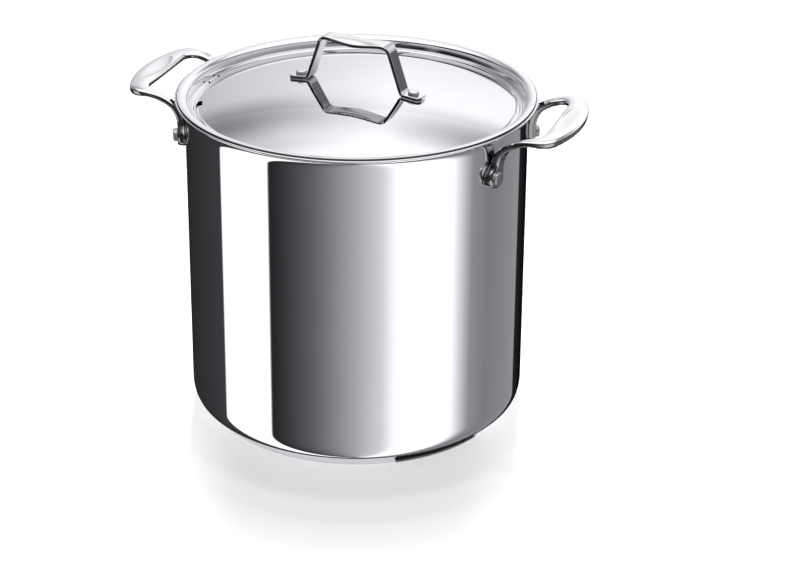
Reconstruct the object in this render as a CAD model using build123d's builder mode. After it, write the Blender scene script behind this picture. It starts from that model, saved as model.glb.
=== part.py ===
from build123d import *
import math
import os

# A lidded stainless stock pot used as a water bath canner, with a jar rack inside it.
# Millimetres, +Z up. The origin is the centre of the base, and the two side handles lie along X.

# Pot body
BODY_RADIUS = 140.0
WALL = 2.2
BASE_CORNER_RADIUS = 20.4
SHELL_BOTTOM_Z = 6.4
LIP_RADIUS = 148.0
LIP_TOP_Z = 275.8

# Encapsulated base
BASE_RADIUS = 126.4
CAP_THICKNESS = 0.7
CAP_WALL_TOP_Z = 7.2
CAP_EDGE_RADIUS = 1.2
CORE_GAP = 0.05

# Lid
LID_SHEET = 1.2
FLANGE_RADIUS = 146.6
FLANGE_TOP_Z = 277.0
FLANGE_EDGE_RADIUS = 0.35
FLANGE_CROWN_INSET = 3.2
FLANGE_SEAT_INSET = 2.4
REBATE_RADIUS = 137.2
REBATE_LEAN = 0.9
CHANNEL_Z = 266.4
CHANNEL_CORNER_RISE = 1.6
CHANNEL_UNDER_INSET = 1.0
BEAD_RADIUS = 132.4
BEAD_HALF_WIDTH = 2.3
BEAD_HEIGHT = 1.7
PLATE_RADIUS = 129.2
DOME_TOP_Z = 282.4
VENT_AZIMUTH = 201.0
VENT_RADIUS = 126.6
VENT_WIDTH = 10.0
VENT_DEPTH = 5.0
VENT_SIDE_ANGLE = 65.0
BRIDGE_AZIMUTH = 174.5
BRIDGE_HALF_ANGLE = 3.6
BRIDGE_SLOT_OFFSET = 2.6
BRIDGE_SLOT_LENGTH = 2.6
BRIDGE_SLOT_WIDTH = 2.0

# Lid handle, a bent strap standing across the lid's centre
LID_HANDLE_AZIMUTH = -5.0
STRAP_THICKNESS = 3.0
STRAP_WIDTH = 15.0
STRAP_GRIP_WIDTH = 17.6
STRAP_CORNER_RADIUS = 4.5
LID_FOOT_END = 60.0
LID_LEG_FOOT = 42.8
LID_LEG_TOP = 30.0
LID_HANDLE_TOP_Z = 322.6
LID_FOOT_BEND_RADIUS = 4.0
LID_TOP_BEND_RADIUS = 7.0
LID_RIVET_OFFSET = 51.4
LID_RIVET_SHANK_RADIUS = 2.5
LID_RIVET_HEAD_RADIUS = 4.6
LID_RIVET_HEAD_HEIGHT = 2.4
LID_RIVET_HEAD_ROUND = 1.8
LID_RIVET_UNDER_HEIGHT = 1.4
LID_RIVET_SEAT_RISE = 0.45

# Side handles, cast loops with one rivet through each foot
HANDLE_OUTER_X = 190.5
HANDLE_INNER_X = 168.5
HANDLE_HALF_WIDTH = 56.0
HANDLE_INNER_HALF_WIDTH = 45.5
HANDLE_OUTER_ARC_RADIUS = 123.0
HANDLE_OUTER_CORNER_RADIUS = 17.0
HANDLE_INNER_CORNER_RADIUS = 7.0
HANDLE_TOP_Z = 277.3
FOOT_THICKNESS = 6.5
FOOT_PAD_RADIUS = 7.4
FOOT_PAD_INSET = 1.6
FOOT_BEND_Z = 249.0
NECK_UNDER = (162.0, 268.3)
GRIP_UNDER = (177.0, 270.6)
GRIP_UNDER_EDGE_Z = 271.4
GRIP_TOP_INNER = (178.0, 277.1)
NECK_TOP = (158.0, 273.0)
NECK_BEND = (147.2, 265.4)
NECK_BEND_FOOT = (141.6, 256.0)
NECK_BEND_END = (138.0, 250.0)
RIVET_Z = 240.0
RIVET_HALF_ANGLE = 22.0
RIVET_SHANK_RADIUS = 3.0
RIVET_HEAD_RADIUS = 4.8
RIVET_HEAD_HEIGHT = 3.8
RIVET_HEAD_ROUND = 1.6
RIVET_INNER_HEAD_RADIUS = 5.6
RIVET_INNER_HEAD_HEIGHT = 1.8
RIVET_INNER_SEAT = 0.35
RIVET_HEAD_TAPER = 20.0
RIVET_HOLE_CLEARANCE = 0.05

# Jar rack, welded from round wire
RACK_WIRE = 5.0
RACK_RING_RADII = {"outer": 124.0, "middle": 80.0, "inner": 36.0}
RACK_SPOKES = 6
RACK_SPOKE_OVERRUN = 2.5
RACK_FOOT_HEIGHT = 12.0
RACK_FOOT_RADIUS = 3.0
RACK_FOOT_WELD = 1.2
RACK_FOOT_PLACES = (58.0, 112.0)
EYE_OUTER_RADIUS = 4.6
EYE_LENGTH = 5.0

# Rack handles, wire bails that stand just inside the wall
BAIL_WIRE = 4.0
BAIL_HEIGHT = 200.0
BAIL_LEAN = 3.0
BAIL_CORNER_RADIUS = 24.0
BAIL_FOOT_BEND_RADIUS = 5.0
BAIL_PIN_OVERRUN = 3.5
BAIL_HINGE_CLEARANCE = 0.3
BAIL_EYE_Y = {"left": 48.0, "right": 42.0}
BAIL_LEG_INSET = 8.0

floor_z = SHELL_BOTTOM_Z + WALL
flare_radius = LIP_RADIUS - WALL / 2 - BODY_RADIUS
flare_start_z = LIP_TOP_Z - WALL - flare_radius
spoke_z = floor_z + RACK_FOOT_HEIGHT + RACK_WIRE / 2
ring_z = spoke_z + RACK_WIRE
eye_z = ring_z + RACK_WIRE / 2 + EYE_OUTER_RADIUS
foot_outer_radius = BODY_RADIUS + FOOT_THICKNESS
dome_radius = (PLATE_RADIUS**2 + (DOME_TOP_Z - CHANNEL_Z) ** 2) / (2 * (DOME_TOP_Z - CHANNEL_Z))
dome_centre_z = DOME_TOP_Z - dome_radius

os.makedirs("parts", exist_ok=True)


def save(part, name):
    """Label a finished piece and write it to its own STEP file."""
    part.label = name
    export_step(part, f"parts/{name}.step")


def radial_plane(radius, azimuth, z):
    """A plane whose normal points outwards from the pot's axis at the given azimuth in degrees."""
    angle = math.radians(azimuth)
    outwards = (math.cos(angle), math.sin(angle), 0)
    sideways = (-math.sin(angle), math.cos(angle), 0)
    return Plane(origin=(radius * outwards[0], radius * outwards[1], z), x_dir=sideways, z_dir=outwards)


def side_rivet_planes(radius, centre_azimuth):
    """The two rivet positions of one side handle, on a cylinder of the given radius."""
    return [radial_plane(radius, centre_azimuth + side * RIVET_HALF_ANGLE, RIVET_Z) for side in (-1, 1)]


def lid_rivet_points():
    """The two rivet positions of the lid handle, as x and y."""
    angle = math.radians(LID_HANDLE_AZIMUTH)
    return [
        (side * LID_RIVET_OFFSET * math.cos(angle), side * LID_RIVET_OFFSET * math.sin(angle))
        for side in (-1, 1)
    ]


# Pot shell: one drawn cup with a rounded bottom corner and a flared pouring lip.
with BuildPart() as pot_shell:
    with BuildSketch(Plane.XZ):
        with BuildLine():
            shell_floor = Line((0, SHELL_BOTTOM_Z), (BODY_RADIUS - BASE_CORNER_RADIUS, SHELL_BOTTOM_Z))
            shell_corner = CenterArc(
                (BODY_RADIUS - BASE_CORNER_RADIUS, SHELL_BOTTOM_Z + BASE_CORNER_RADIUS),
                BASE_CORNER_RADIUS,
                270,
                90,
            )
            shell_wall = Line(shell_corner @ 1, (BODY_RADIUS, flare_start_z))
            flare_centre = (BODY_RADIUS + flare_radius, flare_start_z)
            outer_flare = CenterArc(flare_centre, flare_radius, 180, -90)
            inner_flare = CenterArc(flare_centre, flare_radius + WALL, 180, -90)
            ThreePointArc(outer_flare @ 1, (LIP_RADIUS, LIP_TOP_Z - WALL / 2), inner_flare @ 1)
            inner_corner = CenterArc(
                (BODY_RADIUS - BASE_CORNER_RADIUS, SHELL_BOTTOM_Z + BASE_CORNER_RADIUS),
                BASE_CORNER_RADIUS - WALL,
                270,
                90,
            )
            Line(inner_flare @ 0, inner_corner @ 1)
            inner_floor = Line(inner_corner @ 0, (0, floor_z))
            Line(inner_floor @ 1, shell_floor @ 0)
        make_face()
    revolve(axis=Axis.Z)
    for azimuth in (0, 180):
        for plane in side_rivet_planes(BODY_RADIUS - 2 * WALL, azimuth):
            with BuildSketch(plane):
                Circle(RIVET_SHANK_RADIUS + RIVET_HOLE_CLEARANCE)
            extrude(amount=4 * WALL, mode=Mode.SUBTRACT)
save(pot_shell.part, "pot_shell")


# Base: an aluminium heat-spreading disc sealed under the shell by a pressed stainless cap.
with BuildPart() as base_core:
    with BuildSketch(Plane.XY.offset(CAP_THICKNESS)):
        Circle(BASE_RADIUS - CAP_THICKNESS - CORE_GAP)
    extrude(amount=SHELL_BOTTOM_Z - CAP_THICKNESS)
save(base_core.part, "base_core")

with BuildPart() as base_cap:
    with BuildSketch(Plane.XY):
        Circle(BASE_RADIUS)
    extrude(amount=CAP_WALL_TOP_Z)
    fillet(base_cap.edges().group_by(Axis.Z)[0], CAP_EDGE_RADIUS)
    with BuildSketch(Plane.XY.offset(CAP_THICKNESS)):
        Circle(BASE_RADIUS - CAP_THICKNESS)
    extrude(amount=CAP_WALL_TOP_Z, mode=Mode.SUBTRACT)
save(base_cap.part, "base_cap")


# Side handles: the plan loop, cut to a strap that leaves the wall and sweeps out to the grip.
with BuildPart() as side_handle:
    with BuildSketch(Plane.XY.offset(RIVET_Z - FOOT_PAD_RADIUS)):
        with BuildLine():
            outer_centre_x = HANDLE_OUTER_X - HANDLE_OUTER_ARC_RADIUS
            outer_corner_x = outer_centre_x + math.sqrt(HANDLE_OUTER_ARC_RADIUS**2 - HANDLE_HALF_WIDTH**2)
            near_side = Line((BODY_RADIUS / 2, -HANDLE_HALF_WIDTH), (outer_corner_x, -HANDLE_HALF_WIDTH))
            grip_edge = ThreePointArc(
                near_side @ 1, (HANDLE_OUTER_X, 0), (outer_corner_x, HANDLE_HALF_WIDTH)
            )
            far_side = Line(grip_edge @ 1, (BODY_RADIUS / 2, HANDLE_HALF_WIDTH))
            Line(far_side @ 1, near_side @ 0)
        plan_face = make_face()
        fillet(plan_face.vertices().group_by(Axis.X)[-1], HANDLE_OUTER_CORNER_RADIUS)
        with BuildSketch(mode=Mode.SUBTRACT):
            with Locations((HANDLE_INNER_X / 2, 0)):
                RectangleRounded(HANDLE_INNER_X, 2 * HANDLE_INNER_HALF_WIDTH, HANDLE_INNER_CORNER_RADIUS)
    extrude(amount=LIP_TOP_Z - RIVET_Z + 4 * FOOT_PAD_RADIUS)
    with BuildSketch(Plane.XZ):
        with BuildLine():
            sweep_end = 1.01 * HANDLE_OUTER_X
            foot_end_z = RIVET_Z - 2 * FOOT_PAD_RADIUS
            lower_foot = Line((foot_outer_radius, foot_end_z), (foot_outer_radius, FOOT_BEND_Z))
            lower_bend = TangentArc(lower_foot @ 1, NECK_UNDER, tangent=(0, 1))
            lower_grip = Spline(
                lower_bend @ 1,
                GRIP_UNDER,
                (sweep_end, GRIP_UNDER_EDGE_Z),
                tangents=[lower_bend % 1, (1, 0.05)],
            )
            outer_end = Line(lower_grip @ 1, (sweep_end, HANDLE_TOP_Z))
            upper_grip = Spline(outer_end @ 1, GRIP_TOP_INNER, NECK_TOP, tangents=[(-1, 0), (-1, -0.38)])
            upper_bend = Spline(
                upper_grip @ 1,
                NECK_BEND,
                NECK_BEND_FOOT,
                NECK_BEND_END,
                tangents=[upper_grip % 1, (-0.6, -1)],
            )
            inner_foot = Line(upper_bend @ 1, (NECK_BEND_END[0], foot_end_z))
            Line(inner_foot @ 1, lower_foot @ 0)
        make_face()
    revolve(axis=Axis.Z, mode=Mode.INTERSECT)
    with BuildSketch(Plane.YZ):
        foot_y = foot_outer_radius * math.sin(math.radians(RIVET_HALF_ANGLE)) - FOOT_PAD_INSET
        with Locations((-foot_y, RIVET_Z), (foot_y, RIVET_Z)):
            Circle(FOOT_PAD_RADIUS)
        leg_centre_y = (HANDLE_HALF_WIDTH + HANDLE_INNER_HALF_WIDTH) / 2
        leg_width = HANDLE_HALF_WIDTH - HANDLE_INNER_HALF_WIDTH
        with Locations((-leg_centre_y, RIVET_Z), (leg_centre_y, RIVET_Z)):
            Rectangle(leg_width, 2 * (FOOT_BEND_Z - RIVET_Z), align=(Align.CENTER, Align.MIN))
        with Locations((0, FOOT_BEND_Z)):
            Rectangle(3 * HANDLE_HALF_WIDTH, HANDLE_HALF_WIDTH, align=(Align.CENTER, Align.MIN))
    extrude(amount=sweep_end, mode=Mode.INTERSECT)
    with BuildSketch(Plane.XY):
        Circle(BODY_RADIUS)
    extrude(amount=flare_start_z, mode=Mode.SUBTRACT)
    for plane in side_rivet_planes(BODY_RADIUS - 2 * WALL, 0):
        with BuildSketch(plane):
            Circle(RIVET_SHANK_RADIUS + RIVET_HOLE_CLEARANCE)
        extrude(amount=FOOT_THICKNESS + 4 * WALL, mode=Mode.SUBTRACT)

side_handle_right = side_handle.part
side_handle_left = side_handle.part.rotate(Axis.Z, 180)
save(side_handle_right, "side_handle_right")
save(side_handle_left, "side_handle_left")


def rivet_pair(centre_azimuth):
    """The two rivets of one side handle: domed outside, a flatter head inside the pot."""
    with BuildPart() as rivets:
        for plane in side_rivet_planes(foot_outer_radius, centre_azimuth):
            with BuildSketch(plane):
                Circle(RIVET_HEAD_RADIUS)
            head = extrude(amount=RIVET_HEAD_HEIGHT)
            fillet(head.edges().sort_by(Axis(plane.origin, plane.z_dir))[-1], RIVET_HEAD_ROUND)
            with BuildSketch(plane):
                Circle(RIVET_SHANK_RADIUS)
            extrude(amount=-(FOOT_THICKNESS + WALL + RIVET_INNER_HEAD_HEIGHT / 2))
            with BuildSketch(plane.offset(-(FOOT_THICKNESS + WALL + RIVET_INNER_SEAT))):
                Circle(RIVET_INNER_HEAD_RADIUS)
            extrude(amount=-RIVET_INNER_HEAD_HEIGHT, taper=RIVET_HEAD_TAPER)
    return rivets.part


save(rivet_pair(0), "side_handle_right_rivets")
save(rivet_pair(180), "side_handle_left_rivets")


# Lid: one pressed sheet with a flange that rests on the lip, a sunk rebate that centres it in the
# mouth, a raised bead and a shallow dome.
with BuildPart() as lid_shell:
    with BuildSketch(Plane.XZ):
        with BuildLine():
            dome = CenterArc(
                (0, dome_centre_z), dome_radius, 90, -math.degrees(math.asin(PLATE_RADIUS / dome_radius))
            )
            bead_inner_foot = Line(dome @ 1, (BEAD_RADIUS - BEAD_HALF_WIDTH, CHANNEL_Z))
            bead = ThreePointArc(
                bead_inner_foot @ 1,
                (BEAD_RADIUS, CHANNEL_Z + BEAD_HEIGHT),
                (BEAD_RADIUS + BEAD_HALF_WIDTH, CHANNEL_Z),
            )
            rebate_inner = REBATE_RADIUS - LID_SHEET
            channel_corner = Spline(
                bead @ 1, (rebate_inner, CHANNEL_Z + CHANNEL_CORNER_RISE), tangents=[(1, -0.2), (0.1, 1)]
            )
            rebate_wall = Line(channel_corner @ 1, (rebate_inner + REBATE_LEAN, LIP_TOP_Z - REBATE_LEAN))
            flange_crown = Spline(
                rebate_wall @ 1,
                (REBATE_RADIUS + FLANGE_CROWN_INSET, FLANGE_TOP_Z),
                (FLANGE_RADIUS - FLANGE_EDGE_RADIUS, LIP_TOP_Z + 2 * FLANGE_EDGE_RADIUS),
                tangents=[(0.08, 1), (1, -0.35)],
            )
            flange_edge = ThreePointArc(
                flange_crown @ 1,
                (FLANGE_RADIUS, LIP_TOP_Z + FLANGE_EDGE_RADIUS),
                (FLANGE_RADIUS - FLANGE_EDGE_RADIUS, LIP_TOP_Z),
            )
            under_radius = PLATE_RADIUS - CHANNEL_UNDER_INSET
            flange_seat = Line(flange_edge @ 1, (REBATE_RADIUS + FLANGE_SEAT_INSET, LIP_TOP_Z))
            rebate_outer = Line(flange_seat @ 1, (REBATE_RADIUS, CHANNEL_Z))
            channel_under = Line(
                rebate_outer @ 1, (REBATE_RADIUS - CHANNEL_UNDER_INSET, CHANNEL_Z - LID_SHEET)
            )
            plate_under = Line(channel_under @ 1, (under_radius, CHANNEL_Z - LID_SHEET))
            under_dome = CenterArc(
                (0, dome_centre_z),
                dome_radius - LID_SHEET,
                90,
                -math.degrees(math.asin(under_radius / (dome_radius - LID_SHEET))),
            )
            Line(plate_under @ 1, under_dome @ 1)
            Line(under_dome @ 0, dome @ 0)
        make_face()
    revolve(axis=Axis.Z)
    for x, y in lid_rivet_points():
        with BuildSketch(Plane.XY.offset(CHANNEL_Z)):
            with Locations((x, y)):
                Circle(LID_RIVET_SHANK_RADIUS + RIVET_HOLE_CLEARANCE)
        extrude(amount=DOME_TOP_Z - CHANNEL_Z, mode=Mode.SUBTRACT)
    vent_angle = math.radians(VENT_AZIMUTH)
    with BuildSketch(Plane.XY.offset(CHANNEL_Z - 2 * LID_SHEET)):
        with Locations(Location((VENT_RADIUS * math.cos(vent_angle), VENT_RADIUS * math.sin(vent_angle)))):
            Trapezoid(VENT_WIDTH, VENT_DEPTH, VENT_SIDE_ANGLE, rotation=VENT_AZIMUTH - 90)
    extrude(amount=8 * LID_SHEET, mode=Mode.SUBTRACT)
    for azimuth in (BRIDGE_AZIMUTH - BRIDGE_HALF_ANGLE, BRIDGE_AZIMUTH + BRIDGE_HALF_ANGLE):
        angle = math.radians(azimuth)
        for radius in (BEAD_RADIUS - BRIDGE_SLOT_OFFSET, BEAD_RADIUS + BRIDGE_SLOT_OFFSET):
            with BuildSketch(Plane.XY.offset(CHANNEL_Z - 2 * LID_SHEET)):
                with Locations((radius * math.cos(angle), radius * math.sin(angle))):
                    Rectangle(BRIDGE_SLOT_LENGTH, BRIDGE_SLOT_WIDTH, rotation=azimuth)
            extrude(amount=8 * LID_SHEET, mode=Mode.SUBTRACT)
save(lid_shell.part, "lid_shell")


def dome_z(radius):
    """Height of the dome's upper surface at a distance from the axis."""
    return dome_centre_z + math.sqrt(dome_radius**2 - radius**2)


# Lid handle: a flat strap bent into two feet, two leaning legs and a level grip.
lid_handle_angle = math.radians(LID_HANDLE_AZIMUTH)
strap_plane = Plane(
    origin=(0, 0, 0),
    x_dir=(math.cos(lid_handle_angle), math.sin(lid_handle_angle), 0),
    z_dir=(math.sin(lid_handle_angle), -math.cos(lid_handle_angle), 0),
)
with BuildPart() as lid_handle:
    with BuildSketch(strap_plane):
        with BuildLine():
            foot_tip_z = dome_z(LID_FOOT_END) + STRAP_THICKNESS / 2
            foot_heel_z = dome_z(LID_LEG_FOOT) + STRAP_THICKNESS / 2
            strap_top_z = LID_HANDLE_TOP_Z - STRAP_THICKNESS / 2
            FilletPolyline(
                (-LID_FOOT_END, foot_tip_z),
                (-LID_LEG_FOOT, foot_heel_z),
                (-LID_LEG_TOP, strap_top_z),
                (LID_LEG_TOP, strap_top_z),
                (LID_LEG_FOOT, foot_heel_z),
                (LID_FOOT_END, foot_tip_z),
                radius=[LID_FOOT_BEND_RADIUS, LID_TOP_BEND_RADIUS, LID_TOP_BEND_RADIUS, LID_FOOT_BEND_RADIUS],
            )
        trace(line_width=STRAP_THICKNESS)
    extrude(amount=STRAP_GRIP_WIDTH / 2, both=True)
    with BuildSketch(Plane.XY.offset(CHANNEL_Z)):
        with Locations(Location((0, 0, 0), LID_HANDLE_AZIMUTH)):
            RectangleRounded(2 * LID_FOOT_END, STRAP_WIDTH, STRAP_CORNER_RADIUS)
            Ellipse(0.8 * LID_LEG_TOP, STRAP_GRIP_WIDTH / 2)
    extrude(amount=2 * (LID_HANDLE_TOP_Z - CHANNEL_Z), mode=Mode.INTERSECT)
    with Locations((0, 0, dome_centre_z)):
        Sphere(dome_radius, mode=Mode.SUBTRACT)
    with BuildSketch(Plane.XY.offset(CHANNEL_Z)):
        with Locations(*lid_rivet_points()):
            Circle(LID_RIVET_SHANK_RADIUS + RIVET_HOLE_CLEARANCE)
    extrude(amount=DOME_TOP_Z + STRAP_THICKNESS - CHANNEL_Z, mode=Mode.SUBTRACT)
save(lid_handle.part, "lid_handle")


# Lid handle rivets: a domed head on each foot and a flat head under the lid sheet.
rivet_foot_z = dome_z(LID_RIVET_OFFSET) + STRAP_THICKNESS
rivet_under_z = dome_z(LID_RIVET_OFFSET) - LID_SHEET
with BuildPart() as lid_handle_rivets:
    for x, y in lid_rivet_points():
        with BuildSketch(Plane.XY.offset(rivet_foot_z + LID_RIVET_SEAT_RISE)):
            with Locations((x, y)):
                Circle(LID_RIVET_HEAD_RADIUS)
        lid_rivet_head = extrude(amount=LID_RIVET_HEAD_HEIGHT)
        fillet(lid_rivet_head.edges().group_by(Axis.Z)[-1], LID_RIVET_HEAD_ROUND)
        with BuildSketch(Plane.XY.offset(rivet_under_z - LID_RIVET_UNDER_HEIGHT)):
            with Locations((x, y)):
                Circle(LID_RIVET_SHANK_RADIUS)
        extrude(amount=LID_SHEET + STRAP_THICKNESS + 2 * LID_RIVET_UNDER_HEIGHT)
        with BuildSketch(Plane.XY.offset(rivet_under_z - LID_RIVET_SEAT_RISE)):
            with Locations((x, y)):
                Circle(LID_RIVET_HEAD_RADIUS)
        extrude(amount=-LID_RIVET_UNDER_HEIGHT, taper=RIVET_HEAD_TAPER)
save(lid_handle_rivets.part, "lid_handle_rivets")


# Jar rack: three wire rings welded on top of radial spokes, standing on short feet.
for ring_name, ring_radius in RACK_RING_RADII.items():
    with BuildPart() as rack_ring:
        with BuildSketch(Plane.XZ):
            with Locations((ring_radius, ring_z)):
                Circle(RACK_WIRE / 2)
        revolve(axis=Axis.Z)
    save(rack_ring.part, f"rack_{ring_name}_ring")

spoke_azimuths = [index * 360 / RACK_SPOKES for index in range(RACK_SPOKES)]
spoke_start = RACK_RING_RADII["inner"] - RACK_SPOKE_OVERRUN
spoke_length = RACK_RING_RADII["outer"] + RACK_SPOKE_OVERRUN - spoke_start
with BuildPart() as rack_spokes:
    for azimuth in spoke_azimuths:
        with BuildSketch(radial_plane(spoke_start, azimuth, spoke_z)):
            Circle(RACK_WIRE / 2)
        extrude(amount=spoke_length)
save(rack_spokes.part, "rack_spokes")

with BuildPart() as rack_feet:
    for index, azimuth in enumerate(spoke_azimuths):
        angle = math.radians(azimuth)
        places = RACK_FOOT_PLACES if index % 2 == 0 else RACK_FOOT_PLACES[1:]
        with BuildSketch(Plane.XY.offset(floor_z)):
            with Locations(*[(place * math.cos(angle), place * math.sin(angle)) for place in places]):
                Circle(RACK_FOOT_RADIUS)
        extrude(amount=RACK_FOOT_HEIGHT + RACK_FOOT_WELD)
    for azimuth in spoke_azimuths:
        with BuildSketch(radial_plane(spoke_start, azimuth, spoke_z)):
            Circle(RACK_WIRE / 2)
        extrude(amount=spoke_length, mode=Mode.SUBTRACT)
save(rack_feet.part, "rack_feet")


def bail_eye_x(side):
    """Distance from the axis, along X, of the hinge eyes of one rack handle."""
    return math.sqrt(RACK_RING_RADII["outer"] ** 2 - BAIL_EYE_Y[side] ** 2)


# Hinge eyes: short tubes welded on top of the outer ring, bored for the rack handles' ends.
with BuildPart() as rack_hinge_eyes:
    for side, direction in (("left", -1), ("right", 1)):
        for eye_y in (-BAIL_EYE_Y[side], BAIL_EYE_Y[side]):
            with BuildSketch(Plane.XZ.offset(-eye_y)):
                with Locations((direction * bail_eye_x(side), eye_z)):
                    Circle(EYE_OUTER_RADIUS)
                    Circle(BAIL_WIRE / 2 + BAIL_HINGE_CLEARANCE, mode=Mode.SUBTRACT)
            extrude(amount=EYE_LENGTH / 2, both=True)
save(rack_hinge_eyes.part, "rack_hinge_eyes")

# Rack handles: wire bails whose turned-out ends pivot in the eyes and whose tops lean towards the wall.
for side, direction in (("left", -1), ("right", 1)):
    pin_y = BAIL_EYE_Y[side] + EYE_LENGTH / 2 + BAIL_PIN_OVERRUN
    leg_y = BAIL_EYE_Y[side] - BAIL_LEG_INSET
    pivot_x = direction * bail_eye_x(side)
    with BuildPart() as bail:
        with BuildLine(Plane.YZ.offset(pivot_x)) as bail_path:
            FilletPolyline(
                (-pin_y, eye_z),
                (-leg_y, eye_z),
                (-leg_y, eye_z + BAIL_HEIGHT),
                (leg_y, eye_z + BAIL_HEIGHT),
                (leg_y, eye_z),
                (pin_y, eye_z),
                radius=[BAIL_FOOT_BEND_RADIUS, BAIL_CORNER_RADIUS, BAIL_CORNER_RADIUS, BAIL_FOOT_BEND_RADIUS],
            )
        with BuildSketch(Plane(origin=bail_path.line @ 0, z_dir=bail_path.line % 0)):
            Circle(BAIL_WIRE / 2)
        sweep()
    hinge_axis = Axis((pivot_x, 0, eye_z), (0, 1, 0))
    save(bail.part.rotate(hinge_axis, direction * BAIL_LEAN), f"rack_handle_{side}")
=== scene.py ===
import math

import bmesh
import bpy
from mathutils import Matrix, Quaternion, Vector


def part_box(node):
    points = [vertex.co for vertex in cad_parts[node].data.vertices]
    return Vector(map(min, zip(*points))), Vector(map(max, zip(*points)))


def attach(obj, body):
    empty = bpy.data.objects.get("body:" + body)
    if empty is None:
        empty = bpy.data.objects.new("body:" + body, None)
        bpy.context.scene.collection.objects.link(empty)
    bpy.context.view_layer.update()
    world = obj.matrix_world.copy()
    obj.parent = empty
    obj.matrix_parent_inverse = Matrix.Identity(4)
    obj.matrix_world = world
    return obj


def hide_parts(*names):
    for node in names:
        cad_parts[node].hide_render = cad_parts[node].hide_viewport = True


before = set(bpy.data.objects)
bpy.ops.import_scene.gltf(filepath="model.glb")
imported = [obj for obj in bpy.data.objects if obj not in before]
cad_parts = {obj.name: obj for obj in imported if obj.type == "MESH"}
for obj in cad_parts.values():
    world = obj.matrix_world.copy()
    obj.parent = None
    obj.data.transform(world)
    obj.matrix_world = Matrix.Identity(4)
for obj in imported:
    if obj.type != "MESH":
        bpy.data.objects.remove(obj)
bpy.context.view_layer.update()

# A lidded stainless stock pot, used as a water bath canner, with its jar rack inside.
# Metres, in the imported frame: +Z up, the origin under the base, the side handles along X.

MM = 0.001
ROUND_STEPS = 384

# Pot
body_radius = 140 * MM
wall = 2.2 * MM
corner_radius = 20.4 * MM
corner_power = 0.76
flare_height = 9.2 * MM
flare_power = 0.86
lip_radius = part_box("pot_shell")[1].x
lip_top_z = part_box("pot_shell")[1].z
shell_bottom_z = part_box("pot_shell")[0].z
base_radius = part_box("base_cap")[1].x
cap_top_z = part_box("base_cap")[1].z
cap_sheet = 0.7 * MM

# Lid
lid_sheet = 1.2 * MM
flange_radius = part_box("lid_shell")[1].x
dome_lift = 1.6 * MM
dome_top_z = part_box("lid_shell")[1].z + dome_lift
flange_top_z = 277 * MM
rebate_radius = 136.4 * MM
channel_z = 266.4 * MM
bead_radius = 133.9 * MM
bead_half_width = 1.9 * MM
bead_height = 1.7 * MM
plate_radius = 131.2 * MM
dome_rise = dome_top_z - dome_lift - channel_z
dome_radius = (plate_radius**2 + dome_rise**2) / (2 * dome_rise)

# Lid handle
lid_handle_azimuth = -8
strap = 3 * MM
strap_width = 15 * MM
grip_width = 17.6 * MM
leg_waist = 1.2 * MM
grip_roll = 2.3 * MM
lid_foot_end = 60 * MM
lid_leg_foot = 42.8 * MM
lid_leg_top = 30 * MM
lid_handle_top_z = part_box("lid_handle")[1].z
lid_rivet_offset = 51.4 * MM

# Side handles
handle_outer_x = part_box("side_handle_right")[1].x
handle_top_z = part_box("side_handle_right")[1].z
handle_inner_x = 168.5 * MM
handle_half_width = 56 * MM
handle_inner_half_width = 44.5 * MM
grip_arc_radius = 123 * MM
outer_corner_radius = 17 * MM
inner_corner_radius = 11 * MM
foot_pad_radius = 7.4 * MM
foot_thickness = 6.5 * MM
rivet_z = 240 * MM
rivet_half_angle = 22
side_rivet_lift = 1.8 * MM


# -------- shapes

def dome_z(radius):
    """Height of the lid's dome at a distance from the axis."""
    return dome_top_z - dome_radius + math.sqrt(dome_radius**2 - radius**2)


def smooth(value):
    """A soft step from 0 to 1."""
    value = min(max(value, 0), 1)
    return value * value * (3 - 2 * value)


def mix(a, b, share):
    return a + (b - a) * share


def arc(centre, radius, start, end, steps=24):
    """Points of an arc in a plane, with its angles in degrees."""
    angles = [math.radians(mix(start, end, step / steps)) for step in range(steps + 1)]
    return [(centre[0] + radius * math.cos(a), centre[1] + radius * math.sin(a)) for a in angles]


def eased(centre, across, up, start, end, power, steps=40):
    """A quarter bend that starts and ends with no curvature, so the straight parts run into it softly.
    A power of 1 is a plain arc, and lower powers are fuller."""
    def fuller(value):
        return math.copysign(abs(value) ** power, value)

    angles = [mix(math.radians(start), math.radians(end), step / steps) for step in range(steps + 1)]
    return [(centre[0] + across * fuller(math.cos(a)), centre[1] + up * fuller(math.sin(a))) for a in angles]


def polar(radius, angle, z=0.0):
    """A point at a distance from the Z axis, at an azimuth in radians."""
    return radius * math.cos(angle), radius * math.sin(angle), z


def full_turn(steps):
    """Evenly spaced azimuths in degrees, once round from +X."""
    return [360 * step / steps for step in range(steps)]


def line(start, end, steps=1):
    return [(mix(start[0], end[0], s / steps), mix(start[1], end[1], s / steps)) for s in range(steps + 1)]


def chain(*runs):
    """Runs of points joined end to end, with no point twice in a row."""
    points = []
    for run in runs:
        for point in run:
            if not points or math.dist(points[-1], point) > 1e-6:
                points.append(point)
    return points


def curve(start, handle, end, steps):
    """A quadratic curve, tangent to the lines from its ends to the handle."""
    points = []
    for step in range(steps + 1):
        t = step / steps
        points.append(tuple(
            (1 - t) ** 2 * a + 2 * t * (1 - t) * h + t * t * b for a, h, b in zip(start, handle, end)
        ))
    return points


def rounded(points, radii, steps=12):
    """A polyline in a plane whose inner corners are turned into arcs of the given radii."""
    path = [points[0]]
    for before, corner, after, radius in zip(points, points[1:], points[2:], radii):
        a, c, b = Vector(before), Vector(corner), Vector(after)
        into, out = (c - a).normalized(), (b - c).normalized()
        reach = radius * math.tan(into.angle(out) / 2)
        path += curve(c - into * reach, c, c + out * reach, steps) if radius else [corner]
    return chain(path + [points[-1]])


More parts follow.
